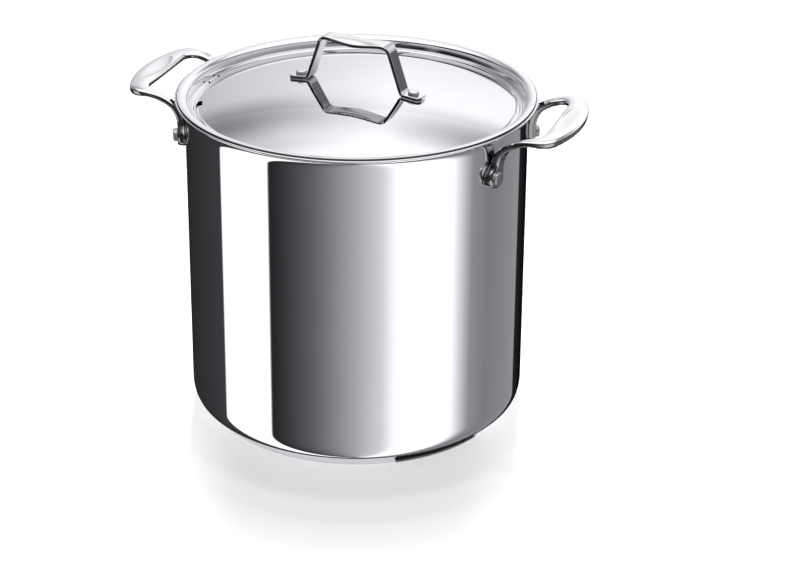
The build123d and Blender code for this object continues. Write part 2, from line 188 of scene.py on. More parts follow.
def divided(points, spacing):
    """The same path with more points, no further apart than the spacing."""
    path = [points[0]]
    for start, end in zip(points, points[1:]):
        steps = max(1, math.ceil(math.dist(start, end) / spacing))
        path += line(start, end, steps)[1:]
    return path


def beside(path, distance):
    """The path moved sideways, to the right of the way it runs."""
    moved = []
    for index, point in enumerate(path):
        before, after = path[max(index - 1, 0)], path[min(index + 1, len(path) - 1)]
        run = math.dist(before, after)
        across = ((after[1] - before[1]) / run, -(after[0] - before[0]) / run)
        moved.append((point[0] + across[0] * distance, point[1] + across[1] * distance))
    return moved


def mesh_from(vertices, faces):
    """A closed bmesh from points and faces, with its normals outwards."""
    bm = bmesh.new()
    made = [bm.verts.new(v) for v in vertices]
    for face in faces:
        bm.faces.new([made[index] for index in face])
    bmesh.ops.recalc_face_normals(bm, faces=bm.faces)
    return bm


def turned(profile, azimuths=None, windows=()):
    """A solid turned about Z from a closed profile of (radius, height) points.

    The profile starts and ends on the axis, or is a closed ring away from it. A window is
    (first azimuth, last azimuth, first point, last point): it is cut through the sheet between those
    points and the points that mirror them from the profile's end.
    """
    azimuths = azimuths or full_turn(ROUND_STEPS)
    count, last = len(azimuths), len(profile) - 1
    on_axis = [radius < 1e-7 for radius, _ in profile]
    vertices, index = [], {}
    for k, (radius, z) in enumerate(profile):
        for j in range(1 if on_axis[k] else count):
            angle = math.radians(azimuths[j])
            index[j, k] = len(vertices)
            vertices.append(polar(radius, angle, z))

    def at(j, k):
        k = k % len(profile)
        return index[0 if on_axis[k] else j % count, k]

    cells = []
    for first, final, k_first, k_last in windows:
        columns = [j for j, azimuth in enumerate(azimuths) if first - 1e-6 <= azimuth < final - 1e-6]
        cells += [(j, k) for j in columns for k in range(k_first, k_last)]
    cut = set(cells)
    mirrored = {(j, last - 1 - k) for j, k in cut}
    faces = []
    for j in range(count):
        for k in range(last if on_axis[0] else last + 1):
            if (j, k) in cut or (j, k) in mirrored:
                continue
            corners = [at(j, k), at(j + 1, k), at(j + 1, k + 1), at(j, k + 1)]
            faces.append(list(dict.fromkeys(corners)))
    for j, k in cells:
        edges = [
            ((j - 1, k), (j, k), (j, k + 1)),
            ((j + 1, k), (j + 1, k), (j + 1, k + 1)),
            ((j, k - 1), (j, k), (j + 1, k)),
            ((j, k + 1), (j, k + 1), (j + 1, k + 1)),
        ]
        for neighbour, a, b in edges:
            if neighbour not in cut:
                faces.append([at(*a), at(*b), at(b[0], last - b[1]), at(a[0], last - a[1])])
    return mesh_from(vertices, [face for face in faces if len(face) > 2])


def lofted(rings, closed=False):
    """A solid skinned over rings of points, closed into a loop or capped at both ends."""
    size = len(rings[0])
    vertices = [point for ring in rings for point in ring]
    faces = []
    for r in range(len(rings) if closed else len(rings) - 1):
        here, there = r * size, (r + 1) % len(rings) * size
        for k in range(size):
            n = (k + 1) % size
            faces.append([here + k, here + n, there + n, there + k])
    if not closed:
        faces += [list(range(size)), list(range(len(vertices) - size, len(vertices)))]
    return mesh_from(vertices, faces)


def joined(*solids):
    """Several closed solids in one bmesh."""
    whole = bmesh.new()
    for solid in solids:
        part = bpy.data.meshes.new("part")
        solid.to_mesh(part)
        solid.free()
        whole.from_mesh(part)
        bpy.data.meshes.remove(part)
    return whole


def moved(solid, matrix):
    bmesh.ops.transform(solid, matrix=matrix, verts=solid.verts)
    return solid


def wire(path, radius, closed=False, count=20):
    """A round wire along points in space, with rounded ends unless it is closed into a loop."""
    path = [Vector(p) for p in path]
    rings = []
    side = None
    for index, point in enumerate(path):
        before = path[index - 1] if index or closed else path[0]
        after = path[(index + 1) % len(path)] if index < len(path) - 1 or closed else path[-1]
        along = (after - before).normalized()
        if side is None:
            side = along.orthogonal().normalized()
        side = (side - along * side.dot(along)).normalized()
        other = along.cross(side)
        turns = [2 * math.pi * step / count for step in range(count)]
        rings.append([point + side * radius * math.cos(t) + other * radius * math.sin(t) for t in turns])
    if not closed:
        ends = []
        for ring, centre, inner in ((rings[0], path[0], path[1]), (rings[-1], path[-1], path[-2])):
            out = (centre - inner).normalized() * radius
            rows = []
            for degrees in (30, 55, 75, 86):
                a = math.radians(degrees)
                rows.append([centre + (p - centre) * math.cos(a) + out * (math.sin(a) - 1) for p in ring])
            ends.append(rows)
            ring[:] = [p - out for p in ring]
        rings = ends[0][::-1] + rings + ends[1]
    return lofted(rings, closed)


def placed(name, data):
    """An object in the scene that shows a mesh, a light or a camera."""
    made = bpy.data.objects.new(name, data)
    bpy.context.scene.collection.objects.link(made)
    return made


def mesh_object(name, solid, material):
    """An object from a bmesh, which it uses up."""
    mesh = bpy.data.meshes.new(name)
    solid.to_mesh(mesh)
    solid.free()
    mesh.materials.append(material)
    return placed(name, mesh)


def piece(name, solid, material, body, nodes, sharp=32):
    """A finished piece: its mesh, shading, material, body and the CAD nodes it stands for."""
    made = mesh_object(name, solid, material)
    made.data.polygons.foreach_set("use_smooth", [True] * len(made.data.polygons))
    made.data.set_sharp_from_angle(angle=math.radians(sharp))
    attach(made, body)
    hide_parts(*nodes)


# -------- materials

def node(tree, kind, *inputs, output=0, **settings):
    """Add a shader node, set its properties, join or set its inputs in order, and return an output."""
    made = tree.nodes.new("ShaderNode" + kind)
    for key, value in settings.items():
        setattr(made, key, value)
    for socket, value in zip(made.inputs, inputs):
        if isinstance(value, bpy.types.NodeSocket):
            tree.links.new(value, socket)
        elif value is not None:
            socket.default_value = value
    return made.outputs[output]


def calc(tree, operation, *inputs):
    return node(tree, "Math", *inputs, operation=operation)


def between(tree, value, low, high, to_low=0.0, to_high=1.0, soft=True):
    """The value's range from low to high mapped, softly or straight, to another range."""
    kind = "SMOOTHSTEP" if soft else "LINEAR"
    return node(tree, "MapRange", value, low, high, to_low, to_high, interpolation_type=kind)


def ramp(tree, factor, stops):
    """A colour ramp whose stops are (position, brightness or colour)."""
    output = node(tree, "ValToRGB", factor)
    elements = output.node.color_ramp.elements
    while len(elements) < len(stops):
        elements.new(0.5)
    for element, (position, shade) in zip(elements, stops):
        element.position = position
        element.color = (*(shade if isinstance(shade, tuple) else (shade,) * 3), 1)
    return output


def new_material(name):
    """A material with its node tree and its shader."""
    material = bpy.data.materials.new(name)
    material.use_nodes = True
    return material, material.node_tree, material.node_tree.nodes["Principled BSDF"]


def own_place(tree):
    """Coordinates of the object's own, which move with it."""
    return node(tree, "TexCoord", output=3)


def split(tree, vector):
    return [node(tree, "SeparateXYZ", vector, output=axis) for axis in range(3)]


def axis_distance(tree, x, y):
    """How far a point is from the Z axis."""
    return calc(tree, "SQRT", calc(tree, "ADD", calc(tree, "MULTIPLY", x, x), calc(tree, "MULTIPLY", y, y)))


def blended(tree, share, a, b, **settings):
    """A colour between two others, or what another blend type makes of them."""
    empty = [None] * 5
    return node(tree, "Mix", share, *empty, a, b, data_type="RGBA", output=2, **settings)


def grain_space(tree, grain):
    """Coordinates stretched along the way a surface was polished: turned about Z, or drawn along X."""
    if grain == "along_x":
        return node(tree, "VectorMath", own_place(tree), (0.04, 1, 1), operation="MULTIPLY")
    x, y, z = split(tree, own_place(tree))
    around = calc(tree, "ARCTAN2", y, x)
    return node(tree, "CombineXYZ", axis_distance(tree, x, y), z, calc(tree, "MULTIPLY", around, 0.004))


def steel(name, tone, roughness, grain="turned", lines=700, relief=0.02, smudge=0.25):
    """Bare stainless steel: polishing lines and faint smudges change its tone, gloss and relief."""
    material, tree, shader = new_material(name)
    shader.inputs["Metallic"].default_value = 1
    fine = node(tree, "TexNoise", grain_space(tree, grain), None, lines, 3, 0.6)
    blotch = node(tree, "TexNoise", own_place(tree), None, 14, 3, 0.55)
    soft_blotch = between(tree, blotch, 0.35, 0.7)
    share = calc(tree, "ADD", calc(tree, "MULTIPLY", fine, 0.6), calc(tree, "MULTIPLY", soft_blotch, 0.4))
    low = tuple(0.965 * c for c in tone) + (1,)
    high = tuple(min(1.0, 1.02 * c) for c in tone) + (1,)
    tree.links.new(blended(tree, share, low, high), shader.inputs["Base Color"])
    gloss = between(tree, fine, 0.3, 0.7, roughness * 0.75, roughness * 1.25, soft=False)
    marks = calc(tree, "MULTIPLY", soft_blotch, roughness * smudge)
    tree.links.new(calc(tree, "ADD", gloss, marks), shader.inputs["Roughness"])
    bump = node(tree, "Bump", relief, 0.0001, None, fine)
    tree.links.new(bump, shader.inputs["Normal"])
    return material


def upwards(tree):
    """How far a face looks up, from -1 to 1: the height of its normal."""
    return node(tree, "SeparateXYZ", node(tree, "NewGeometry", output=1), output=2)


def recolour(material, share, colour, **settings):
    """Blend another colour into what already colours a material."""
    tree = material.node_tree
    base = tree.nodes["Principled BSDF"].inputs["Base Color"]
    tree.links.new(blended(tree, share, base.links[0].from_socket, colour, **settings), base)


def paint_reflection_by_facing(material, painted_stops):
    """Paint reflected light and shade into a material's colour by which way a face looks: stops of (height of
    its normal from -1 to 1, brightness).
    """
    tree = material.node_tree
    stops = [((height + 1) / 2, shade) for height, shade in painted_stops]
    tone = ramp(tree, between(tree, upwards(tree), -1, 1, soft=False), stops)
    recolour(material, 1, tone, blend_type="MULTIPLY")


def paint_shade_band(material, radii, heights=(-1, -0.5, 0.5, 1), shade=0.06):
    """Paint shade into a turned piece's colour past a radius and within a band of heights.

    The radii are where the dark starts and where it is full. The heights are where it starts, is full,
    starts to fade and ends.
    """
    tree = material.node_tree
    x, y, z = split(tree, own_place(tree))
    start, full, fading, end = heights
    inside = calc(tree, "MULTIPLY", between(tree, z, start, full), between(tree, z, end, fading))
    share = calc(tree, "MULTIPLY", between(tree, axis_distance(tree, x, y), *radii), inside)
    recolour(material, share, (shade, shade, 1.06 * shade, 1))


def base_finish():
    """The cap under the base: a polished edge, and a face brushed in rings."""
    material = steel("base_steel", STEEL_TONE, 0.05, relief=0.03)
    tree = material.node_tree
    shader = tree.nodes["Principled BSDF"]
    underside = between(tree, upwards(tree), -0.6, -0.95)
    rings = node(tree, "TexNoise", grain_space(tree, "turned"), None, 1500, 4, 0.7)
    brushed = between(tree, rings, 0.3, 0.7, 0.24, 0.42, soft=False)
    edge = shader.inputs["Roughness"].links[0].from_socket
    blend = node(tree, "Mix", underside, None, edge, brushed)
    tree.links.new(blend, shader.inputs["Roughness"])
    relief = node(tree, "Bump", 0.25, 0.0002, None, rings)
    tree.links.new(calc(tree, "MULTIPLY", underside, 0.25), relief.node.inputs["Strength"])
    tree.links.new(relief, shader.inputs["Normal"])
    return material


def cast_finish():
    """The side handles: cast, then polished by hand, so the gloss is softer and slightly uneven."""
    material = steel("handle_steel", HANDLE_TONE, 0.06, grain="along_x", lines=420, relief=0.03, smudge=0.6)
    tree = material.node_tree
    shader = tree.nodes["Principled BSDF"]
    waves = node(tree, "TexNoise", own_place(tree), None, 60, 2, 0.5)
    fine_bump = shader.inputs["Normal"].links[0].from_socket
    tree.links.new(node(tree, "Bump", 0.06, 0.0006, None, waves, fine_bump), shader.inputs["Normal"])
    return material


# Painted reflections: brightness by how far a face looks up, standing in for the light and dark bands of the
# room round the small parts
HANDLE_PAINTED_REFLECTION = [
    (-1, 0.3), (-0.75, 0.1), (-0.6, 0.6), (-0.35, 0.08), (-0.15, 0.4), (0.08, 0.4), (0.2, 0.06), (0.42, 0.06),
    (0.56, 0.75), (0.78, 1),
]
STRAP_PAINTED_REFLECTION = [
    (-1, 0.6), (-0.6, 0.6), (-0.22, 0.9), (-0.12, 0.05), (0.12, 0.05), (0.22, 0.5), (0.5, 0.8), (0.8, 1),
]
RIVET_PAINTED_REFLECTION = [(-1, 0.35), (-0.1, 0.4), (0.4, 0.5), (0.8, 1)]
STEEL_TONE = (0.80, 0.805, 0.825)
HANDLE_TONE = (0.82, 0.82, 0.835)
pot_steel = steel("pot_steel", STEEL_TONE, 0.018)
# Painted shade: a dark band on the flare just under the lip's roll
under_lip = [lip_top_z - down * MM for down in (8.0, 3.2, 1.9, 1.6)]
on_flare = (body_radius + 1 * MM, body_radius + 1.5 * MM)
paint_shade_band(pot_steel, on_flare, under_lip, shade=0.2)
lid_steel = steel("lid_steel", STEEL_TONE, 0.022, lines=900, smudge=0.3)
# Painted shadow: a black line round the flange's edge, for the shadowed gap between the lid and the pot's lip
on_flange_edge = (flange_radius - 0.95 * MM, flange_radius - 0.75 * MM)
paint_shade_band(lid_steel, on_flange_edge)
handle_steel = cast_finish()
# Painted reflections on the side handles, the lid's strap and the rivets: lighter or darker by which way each
# face looks
paint_reflection_by_facing(handle_steel, HANDLE_PAINTED_REFLECTION)
strap_steel = steel("strap_steel", HANDLE_TONE, 0.035, grain="along_x", lines=500, smudge=0.4)
paint_reflection_by_facing(strap_steel, STRAP_PAINTED_REFLECTION)
rivet_steel = steel("rivet_steel", HANDLE_TONE, 0.3, lines=1200, relief=0.05, smudge=0.5)
paint_reflection_by_facing(rivet_steel, RIVET_PAINTED_REFLECTION)
rack_steel = steel("rack_wire", (0.72, 0.725, 0.74), 0.2, grain="along_x", lines=900, relief=0.08, smudge=0.5)
base_steel = base_finish()
core_metal = steel("core_aluminium", (0.86, 0.865, 0.87), 0.35, grain="along_x", lines=300, relief=0.1)


# -------- camera, floor and light

# Angles in degrees, anticlockwise from +X, and distances in metres; the lens and sensor in millimetres
VIEW_AZIMUTH = -71.17
VIEW_ELEVATION = 25.11
VIEW_DISTANCE = 1.969
VIEW_ROLL = 0.484
VIEW_TARGET = Vector((0.0335, 0.0119, 0.1037))
LENS = 105.1
SENSOR = 36


def towards(azimuth, elevation):
    """The way to something far off, from its azimuth and elevation in degrees."""
    up = math.radians(elevation)
    return Vector(polar(math.cos(up), math.radians(azimuth), math.sin(up)))


def make_camera():
    data = bpy.data.cameras.new("camera")
    data.lens = LENS
    data.sensor_width = SENSOR
    data.clip_start = 0.05
    data.clip_end = 60
    camera = placed("camera", data)
    back = towards(VIEW_AZIMUTH, VIEW_ELEVATION)
    camera.location = VIEW_TARGET + back * VIEW_DISTANCE
    camera.rotation_mode = "QUATERNION"
    roll = Quaternion((0, 0, 1), math.radians(VIEW_ROLL))
    camera.rotation_quaternion = (-back).to_track_quat("-Z", "Y") @ roll
    bpy.context.scene.camera = camera


make_camera()

# What stands round the pot, anticlockwise from +X: where each card or screen starts and ends in degrees,
# and how bright it is at each end, where 1 is white. The gaps between them are soft edges.
LOW_CARDS = {
    "right_fill": (14, 30, 0.53, 0.465),
    "right_fill_end": (50, 70.5, 0.50, 0.535),
    "right_flag": (72, 90, 0.15, 0.075),
    "back_flag": (100, 129, 0.08, 0.15),
    "left_flag": (130, 186, 0.162, 0.235),
    "left_softbox": (187, 228.3, 1, 1),
    "front_screen": (229.6, 259, 0.15, 0.353),
    "front_screen_end": (259.5, 306, 0.355, 0.788),
    "front_screen_rim": (306.5, 313, 0.79, 0.925),
    "key_softbox": (318, 357, 1, 1),
}
HORIZON_CARDS = {
    "right_dusk": (10, 60, 0.40, 0.45),
    "back_dusk": (80, 130, 0.60, 0.40),
    "left_dark": (140, 226, 0.10, 0.07),
    "front_dark": (240, 292, 0.06, 0.14),
    "front_dusk": (325, 350, 0.24, 0.32),
}
HIGH_CARDS = {
    "right_wall": (10, 60, 0.60, 0.55),
    "back_wall": (80, 130, 0.70, 0.45),
    "left_curtain": (140, 226, 0.16, 0.10),
    "left_gap": (232, 236, 0.40, 0.40),
    "front_curtain": (242, 262, 0.16, 0.25),
    "front_wall": (285, 350, 0.52, 0.58),
}
# The strip between the horizon cards and the high cards, and the overhead light above them all
LIGHT_BAND = 0.8
OVERHEAD = 1.0
# Elevations where each zone gives way to the next, from its last to the next one's first
LOW_TO_HORIZON = (-6, -1)
HORIZON_TO_BAND = (5, 8.5)
BAND_TO_HIGH = (17, 23)
HIGH_TO_OVERHEAD = (41, 49)
# The azimuth where each ring of cards is cut open, within a card
CARD_SEAM = 200
# Where the back sweep and the back lights stand
BACK_AZIMUTH = 108
# Over 1, so that white cards stay white in steel, which takes some of their light
WHITE_GAIN = 1.33


def card_ring(tree, azimuth, cards):
    """The brightness of a ring of cards at an azimuth in degrees."""
    place = calc(tree, "FRACT", calc(tree, "MULTIPLY_ADD", azimuth, 1 / 360, 2 - CARD_SEAM / 360))
    stops = []
    for start, end, shade, end_shade in cards.values():
        stops += [((start - CARD_SEAM) % 360 / 360, shade), ((end - CARD_SEAM) % 360 / 360, end_shade)]
    return ramp(tree, place, sorted(stops))


def back_sweep(tree, azimuth, elevation):
    """The pale sweep behind the pot, with a soft grey fold below the overhead light, greyer to the left."""
    rise = ramp(tree, between(tree, elevation, -10, 50, soft=False), [
        (0.0, 0.86), (0.23, 0.91), (0.50, 0.97), (0.64, 0.98), (0.90, 1.0), (1.0, 1.0),
    ])
    towards_left = between(tree, azimuth, 107, 124, 1, 0.76, soft=False)
    shade = calc(tree, "MULTIPLY", rise, towards_left)

    # The fold is deeper to both sides, and lies lower to the left.
    left_depth = between(tree, azimuth, 112, 126, 0.09, 0.27, soft=False)
    depth = calc(tree, "ADD", left_depth, between(tree, azimuth, 106, 90, 0, 0.36, soft=False))
    middle = between(tree, azimuth, 103, 119, 37, 30.8, soft=False)
    above = calc(tree, "SUBTRACT", elevation, middle)
    fold = calc(tree, "MULTIPLY", between(tree, above, -11, 0), between(tree, above, 10, 0))
    shade = calc(tree, "SUBTRACT", shade, calc(tree, "MULTIPLY", depth, fold))

    # A fine crease crosses the sweep below the fold.
    crease = calc(tree, "SUBTRACT", elevation, between(tree, azimuth, 111, 124, 31.5, 27, soft=False))
    shade = calc(tree, "ADD", shade, between(tree, crease, -0.3, 0.3, -0.02, 0.02))
    turn = calc(tree, "ABSOLUTE", calc(tree, "SUBTRACT", azimuth, BACK_AZIMUTH + 1))
    return calc(tree, "MULTIPLY", shade, between(tree, turn, 20, 80, 1, 0.8))


def make_world():
    """The studio round the pot, as light that comes from each direction."""
    world = bpy.data.worlds.new("studio")
    bpy.context.scene.world = world
    world.use_nodes = True
    tree = world.node_tree
    x, y, z = split(tree, node(tree, "TexCoord"))
    elevation = calc(tree, "MULTIPLY", calc(tree, "ARCSINE", z), math.degrees(1))
    azimuth = calc(tree, "MULTIPLY", calc(tree, "ARCTAN2", y, x), math.degrees(1))

    def above(edges, below, beyond):
        return node(tree, "Mix", between(tree, elevation, *edges), None, below, beyond)

    low, horizon, high = (card_ring(tree, azimuth, ring) for ring in (LOW_CARDS, HORIZON_CARDS, HIGH_CARDS))
    shade = above(LOW_TO_HORIZON, low, horizon)
    shade = above(HORIZON_TO_BAND, shade, LIGHT_BAND)
    shade = above(BAND_TO_HIGH, shade, high)

    off_back = calc(tree, "ABSOLUTE", calc(tree, "SUBTRACT", azimuth, BACK_AZIMUTH))
    lifted = calc(tree, "SUBTRACT", elevation, between(tree, off_back, 18, 48, 0, 24))
    behind = calc(tree, "MULTIPLY", between(tree, lifted, -13, -7), between(tree, off_back, 80, 50))
    shade = node(tree, "Mix", behind, None, shade, back_sweep(tree, azimuth, elevation))
    shade = above(HIGH_TO_OVERHEAD, shade, OVERHEAD)
    light = calc(tree, "POWER", shade, 2.2)
    tints = [(0.0, (1.0, 0.985, 1.0)), (0.25, (0.97, 0.98, 1.06)), (0.7, (0.985, 0.98, 1.02)), (1.0, 1.0)]
    background = tree.nodes["Background"]
    tree.links.new(ramp(tree, shade, tints), background.inputs["Color"])
    tree.links.new(calc(tree, "MULTIPLY", light, WHITE_GAIN), background.inputs["Strength"])
    world.cycles.sampling_method = "NONE"
    world.cycles_visibility.diffuse = False


def stage_object(name, solid, material, **seen_by):
    """A part of the studio. The rays that seen_by names see it or don't."""
    made = mesh_object(name, solid, material)
    for ray, seen in seen_by.items():
        setattr(made, "visible_" + ray, seen)


# Painted light: how much more the floor glows beside the shadow than in its middle, which makes the shadow
# narrower, and where that starts and ends
SIDE_GLOW = 0.22
SIDE_GLOW_EDGES = (80 * MM, 148 * MM)


def light_table(name, shade, glow):
    """A matt pale floor that glows as well, like a light table, so that shadows on it are pale, above all at
    their sides, where a stronger glow is painted light that makes the shadow narrower.
    """
    material, tree, shader = new_material(name)
    shader.inputs["Base Color"].default_value = (shade, shade, shade, 1)
    shader.inputs["Roughness"].default_value = 0.9
    shader.inputs["Specular IOR Level"].default_value = 0.1
    shader.inputs["Emission Color"].default_value = (1, 0.985, 1, 1)
    turn = math.radians(BACK_AZIMUTH - 90)
    sideways = (math.cos(turn), math.sin(turn), 0)
    aside = node(tree, "VectorMath", own_place(tree), sideways, operation="DOT_PRODUCT", output=1)
    # Painted light: the glow grows with the distance sideways from the shadow's axis
    off_axis = between(tree, calc(tree, "ABSOLUTE", aside), *SIDE_GLOW_EDGES, glow, glow + SIDE_GLOW)
    tree.links.new(off_axis, shader.inputs["Emission Strength"])
    return material


def glowing(name, strength):
    """A material that only glows."""
    material, tree, _ = new_material(name)
    emission = node(tree, "Emission", (1, 1, 1, 1), strength)
    tree.links.new(emission, tree.nodes["Material Output"].inputs["Surface"])
    return material


FLOOR_RADIUS = 9
NEAR_FLOOR_RADIUS = 0.132
NEAR_FLOOR_MIDDLE = 0.01
# The backdrop is a dome that starts a few degrees below the floor.
BACKDROP_DROP = -4
BACKDROP_SHEET = 0.1
# The flag lies on the floor round the base's front right edge, which reflects it.
FLAG_RADII = (0.1215, 0.1318)
FLAG_LIFT = 0.0002
FLAG_TURNS = [-55.3 + 1.5 * step for step in range(26)]


def ring_sheet(inner, outer, z, turns=None):
    """A flat washer, or the stretch of one over some azimuths. A small hole is filled."""
    whole = turns is None
    turns = [math.radians(turn) for turn in turns or full_turn(180)]
    bm = bmesh.new()
    rows = [[bm.verts.new(polar(radius, turn, z)) for turn in turns] for radius in (inner, outer)]
    for s in range(len(turns) if whole else len(turns) - 1):
        n = (s + 1) % len(turns)
        bm.faces.new([rows[0][s], rows[1][s], rows[1][n], rows[0][n]])
    if inner <= NEAR_FLOOR_MIDDLE:
        bm.faces.new(rows[0])
    return bm


def make_stage():
    """A white floor, a white backdrop that only the camera sees, and a black flag by the base."""
    white = light_table("floor_white", shade=0.9, glow=0.5)
    stage_object("floor", ring_sheet(NEAR_FLOOR_RADIUS, FLOOR_RADIUS, 0), white, glossy=False)
    stage_object("near_floor", ring_sheet(NEAR_FLOOR_MIDDLE, NEAR_FLOOR_RADIUS, 0), white)
    flag = ring_sheet(*FLAG_RADII, FLAG_LIFT, turns=FLAG_TURNS)
    unseen = {"camera": False, "diffuse": False, "shadow": False, "transmission": False}
    stage_object("base_flag", flag, glowing("flag_black", strength=0.012), **unseen)
    backdrop = turned(chain(
        arc((0, 0), FLOOR_RADIUS, BACKDROP_DROP, 90),
        arc((0, 0), FLOOR_RADIUS + BACKDROP_SHEET, 90, BACKDROP_DROP),
    ), full_turn(48))
    pale = glowing("backdrop_white", strength=1.1)
    stage_object("backdrop", backdrop, pale, glossy=False, diffuse=False, shadow=False)


def sun(name, azimuth, elevation, strength, spread):
    """A soft distant light that comes from an azimuth and elevation, seen only in what it lights."""
    data = bpy.data.lights.new(name, "SUN")
    data.energy = strength
    data.angle = math.radians(spread)
    lamp = placed(name, data)
    lamp.rotation_mode = "QUATERNION"
    lamp.rotation_quaternion = towards(azimuth, elevation).to_track_quat("Z", "Y")
    lamp.visible_glossy = False


# One light at each elevation, so that the shadow fades with its distance from the pot
BACK_LIGHT_ELEVATIONS = (60, 64, 69, 75, 83)

make_world()
make_stage()
for step, elevation in enumerate(BACK_LIGHT_ELEVATIONS):
    sun(f"back_light_{step}", BACK_AZIMUTH, elevation, strength=0.43, spread=4.5)
sun("overhead_light", 0, 90, strength=0.5, spread=110)
bpy.context.scene.view_settings.view_transform = "Standard"


# -------- pot

def make_pot_shell():
    """One drawn cup: flat floor, rounded corner, straight wall and a flared pouring lip."""
    corner_centre = (body_radius - corner_radius, shell_bottom_z + corner_radius)
    corner_inside = corner_radius - wall
    flare_width = lip_radius - wall / 2 - body_radius
    flare_centre = (body_radius + flare_width, lip_top_z - wall - flare_height)
    return turned(chain(
        line((0, shell_bottom_z), (corner_centre[0], shell_bottom_z), 12),
        eased(corner_centre, corner_radius, corner_radius, -90, 0, corner_power),
        line((body_radius, corner_centre[1]), (body_radius, flare_centre[1]), 40),
        eased(flare_centre, flare_width, flare_height, 180, 90, flare_power),
        arc((lip_radius - wall / 2, lip_top_z - wall / 2), wall / 2, -90, 90, 16),
        eased(flare_centre, flare_width + wall, flare_height + wall, 90, 180, flare_power),
        line((body_radius - wall, flare_centre[1]), (body_radius - wall, corner_centre[1]), 40),
        eased(corner_centre, corner_inside, corner_inside, 0, -90, corner_power),
        line((corner_centre[0], shell_bottom_z + wall), (0, shell_bottom_z + wall), 12),
    ))


def make_base_cap():
    """The pressed cap that seals the heat-spreading disc under the shell."""
    edge = 1.0 * MM
    draft = 1.3 * MM
    seam = 0.3 * MM
    foot = base_radius - draft
    foot_top = (foot + 0.15 * MM, edge)
    swell = (base_radius - 0.1 * MM, cap_top_z - 3 * MM)
    outer = chain(
        line((0, 0), (foot - edge, 0), 24),
        curve((foot - edge, 0), (foot, 0), foot_top, 8),
        curve(foot_top, swell, (base_radius, cap_top_z - seam), 8),
        arc((base_radius - seam, cap_top_z - seam), seam, 0, 90, 4),
    )
    inner = chain(
        line((base_radius - cap_sheet, cap_top_z), (foot - cap_sheet, edge), 4),
        line((foot - cap_sheet, cap_sheet), (0, cap_sheet), 4),
    )
    return turned(chain(outer, inner))


piece("pot_body", make_pot_shell(), pot_steel, "pot", ["pot_shell"])
piece("base_disc_cap", make_base_cap(), base_steel, "pot", ["base_cap"])
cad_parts["base_core"].data.materials.clear()
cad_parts["base_core"].data.materials.append(core_metal)


# -------- side handles

def section(half_width, half_thickness, corner, flat_steps, round_steps=6):
    """A rounded bar's outline as (across, up) points, anticlockwise from the right end of its top."""
    corner = min(corner, half_width * 0.95, half_thickness * 0.98)
    flat, side = half_width - corner, half_thickness - corner
    outline = chain(
        line((flat, half_thickness), (-flat, half_thickness), flat_steps),
        arc((-flat, side), corner, 90, 180, round_steps),
        arc((-flat, -side), corner, 180, 270, round_steps),
        line((-flat, -half_thickness), (flat, -half_thickness), flat_steps),
        arc((flat, -side), corner, 270, 360, round_steps),
        arc((flat, side), corner, 0, 90, round_steps),
    )
    return outline[:-1]


foot_centre = body_radius + foot_thickness / 2
neck_bend = (150.6 * MM, handle_top_z - 12.1 * MM)
neck_top = (164 * MM, handle_top_z - 5.3 * MM)
grip_start = (178 * MM, handle_top_z - 2.9 * MM)
neck_end = 158 * MM
foot_pad_y = 53.4 * MM
neck_thickness = 5.0 * MM
neck_waist = 2.0 * MM
edge_radius = 2.1 * MM
grip_edge_thickness = 6.8 * MM
scoop_centre_x = 178.4 * MM
scoop_half_length = 29 * MM
scoop_half_width = 6.9 * MM
scoop_depth = 1.1 * MM
grip_crown = 0.8 * MM

# The handle's middle line from the foot's lower end to the grip, as (distance from the axis, height)
side_path = divided(chain(
    line((foot_centre, rivet_z - foot_pad_radius + 0.02 * MM), (foot_centre, 248 * MM), 4),
    curve((foot_centre, 248 * MM), (144.0 * MM, handle_top_z - 17.1 * MM), neck_bend, 16),
    curve(neck_bend, (156.5 * MM, handle_top_z - 7.7 * MM), neck_top, 12),
    curve(neck_top, (170.5 * MM, handle_top_z - 3.2 * MM), grip_start, 12),
    line(grip_start, (196 * MM, handle_top_z - 2.7 * MM), 4),
), 0.9 * MM)


def on_side(radius):
    """Height and slope of the side path at a distance from the axis, past the neck's bend."""
    for (r0, z0), (r1, z1) in zip(side_path, side_path[1:]):
        if r1 - r0 > 1e-6 and r0 <= radius <= r1:
            return mix(z0, z1, (radius - r0) / (r1 - r0)), math.atan2(z1 - z0, r1 - r0)
    return side_path[-1][1], 0.0


def side_thickness(radius):
    """How thick a side handle is at a distance from the axis."""
    return mix(foot_thickness, neck_thickness, smooth((radius - foot_centre) / (10 * MM)))


def foot_ring(index):
    """One section of the foot or neck, at a point of the side path, on the +Y side."""
    radius, z = side_path[index]
    (r0, z0), (r1, z1) = side_path[max(index - 1, 0)], side_path[index + 1]
    slope = math.atan2(z1 - z0, r1 - r0)
    above = z - rivet_z
    neck_outer = handle_half_width - neck_waist
    if above > 0:
        inner = handle_inner_half_width
        outer = mix(foot_pad_y + foot_pad_radius, neck_outer, smooth(above / (14 * MM)))
    else:
        reach = math.sqrt(max(foot_pad_radius**2 - above**2, 0))
        inner = foot_pad_y - reach * (foot_pad_y - handle_inner_half_width) / foot_pad_radius
        outer = foot_pad_y + reach
    half = (outer - inner) / 2
    points = []
    for across, up in section(half, side_thickness(radius) / 2, edge_radius, flat_steps=44):
        r = radius - up * math.sin(slope)
        y = (inner + outer) / 2 + across
        points.append(Vector((math.sqrt(r * r - y * y), y, z + up * math.cos(slope))))
    return points


def scoop(x, y):
    """How far the thumb scoop sinks into the top of the grip at a point of its plan: steep on its inner
    side, and running out softly to its outer side."""
    along = 1 - (y / scoop_half_length) ** 2
    if along <= 0:
        return 0
    share = ((x - scoop_centre_x) / (scoop_half_width * math.sqrt(along)) + 1) / 2
    if not 0 < share < 1:
        return 0
    return scoop_depth * along * 4 * share**0.7 * (1 - share) ** 1.5


